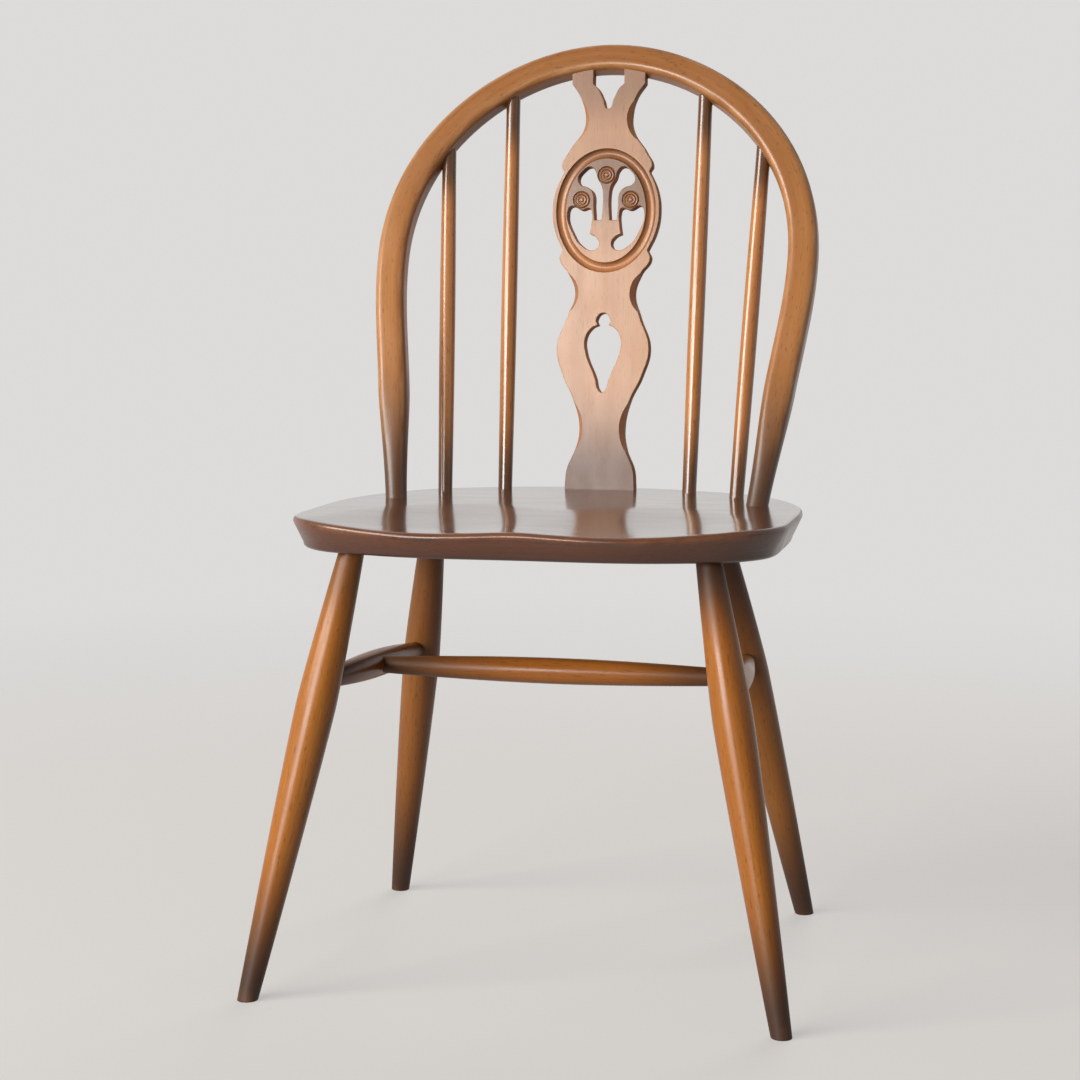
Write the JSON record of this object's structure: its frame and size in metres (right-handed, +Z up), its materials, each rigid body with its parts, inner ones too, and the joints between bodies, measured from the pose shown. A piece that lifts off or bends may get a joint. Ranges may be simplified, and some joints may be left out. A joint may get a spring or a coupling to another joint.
{
  "type": "dining chair",
  "caption": "Bow-back wooden dining chair with a pierced and carved splat between straight sticks, a saddled seat, and splayed turned legs tied by an H stretcher.",
  "frame": {"origin": "on the floor, under the middle of the chair's bounding box", "axes": "+Z up, -Y the way the chair faces, +X to the right of someone looking at its front"},
  "size_m": [0.5036, 0.4816, 0.8843],
  "materials": {
    "seat_wood": "dark brown stained wood under glossy lacquer",
    "bow_wood": "golden brown shaded wood under semi-gloss lacquer",
    "splat_wood": "pale pinkish brown wood under satin lacquer",
    "turned_wood": "golden brown turned wood, toned darker at the joints, under semi-gloss lacquer",
    "wedge_wood": "bare wood"
  },
  "bodies": {
    "root": {"seat": "seat_wood", "bow": "bow_wood", "splat": "splat_wood", "outer_stick_left": "turned_wood", "outer_stick_right": "turned_wood", "inner_stick_left": "turned_wood", "inner_stick_right": "turned_wood", "front_leg_left": "turned_wood", "front_leg_right": "turned_wood", "rear_leg_left": "turned_wood", "rear_leg_right": "turned_wood", "side_stretcher_left": "turned_wood", "side_stretcher_right": "turned_wood", "cross_stretcher": "turned_wood", "front_leg_left_wedge": "wedge_wood", "front_leg_right_wedge": "wedge_wood", "rear_leg_left_wedge": "wedge_wood", "rear_leg_right_wedge": "wedge_wood", "bow_wedge_left": "wedge_wood", "bow_wedge_right": "wedge_wood"}
  },
  "joints": []
}
